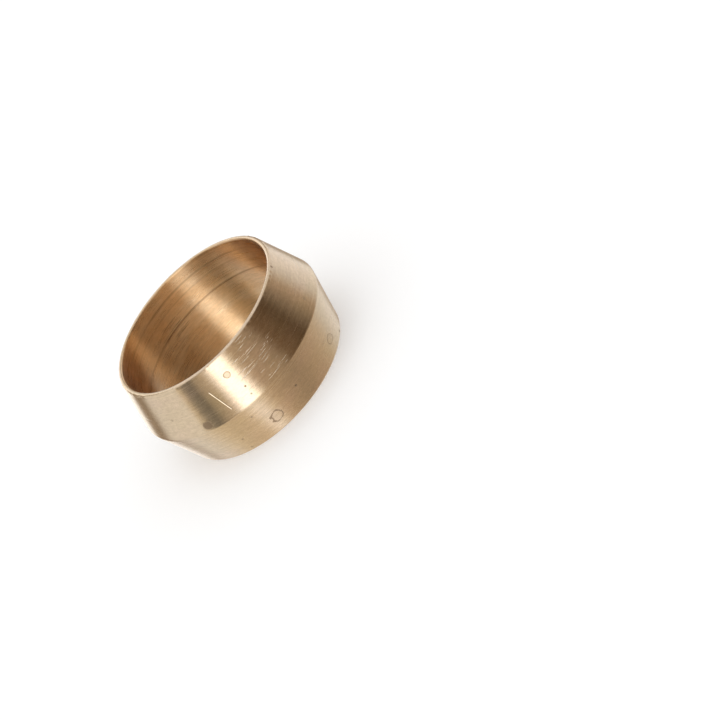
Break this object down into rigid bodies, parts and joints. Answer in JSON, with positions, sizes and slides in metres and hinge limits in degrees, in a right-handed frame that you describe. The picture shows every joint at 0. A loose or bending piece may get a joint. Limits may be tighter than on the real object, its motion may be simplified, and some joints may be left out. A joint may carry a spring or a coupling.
{
  "type": "compression bush",
  "caption": "Double-cone brass ring that is squeezed between a compression fitting and its nut to seal and grip a 15 mm tube.",
  "frame": {"origin": "on the bore's axis, in the plane of the end face that the bush stands on", "axes": "+Z along the bore, from the end it stands on to the other end; X and Y lie in the standing face, and every direction in that plane is alike"},
  "size_m": [0.0182, 0.0182, 0.0086],
  "materials": {
    "brass": "turned, slightly tarnished and water-stained"
  },
  "bodies": {
    "root": {"bush": "brass"}
  },
  "joints": []
}
